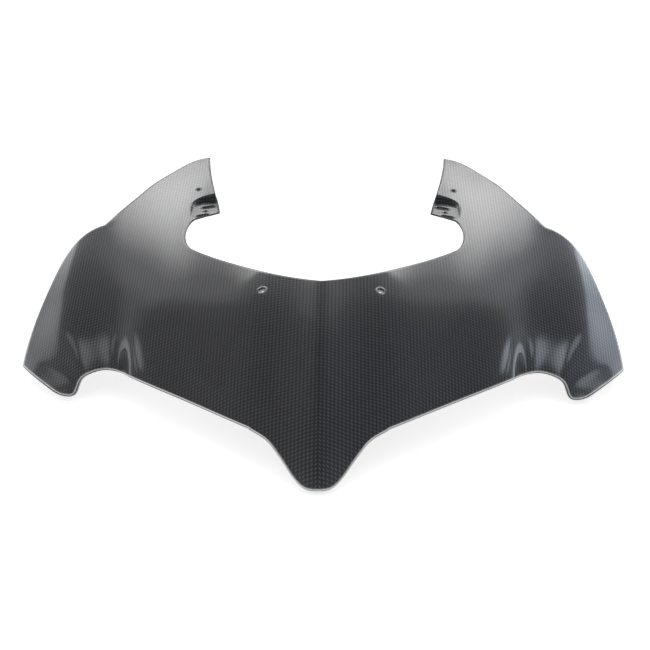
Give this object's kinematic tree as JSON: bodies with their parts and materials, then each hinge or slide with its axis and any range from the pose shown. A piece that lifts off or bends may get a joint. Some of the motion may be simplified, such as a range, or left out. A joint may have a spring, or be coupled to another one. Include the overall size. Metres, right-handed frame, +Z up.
{
  "type": "motorcycle upper fairing",
  "caption": "one-piece upper nose fairing of a sports motorcycle: a pointed shell with swept brows, side lobes, long arms, sunk mirror seats and windscreen screw holes",
  "frame": {"origin": "on the ground, under the middle of the outer size", "axes": "+X across, to the right as the nose is looked at from the front, +Y to the rear, +Z up; left and right in names are as seen from the front too"},
  "size_m": [0.5828, 0.4884, 0.1528],
  "materials": {
    "gloss_weave": "moulded plastic with a printed twill weave under a thick clear gloss coat"
  },
  "bodies": {
    "root": {"fairing_shell": "gloss_weave"}
  },
  "joints": []
}
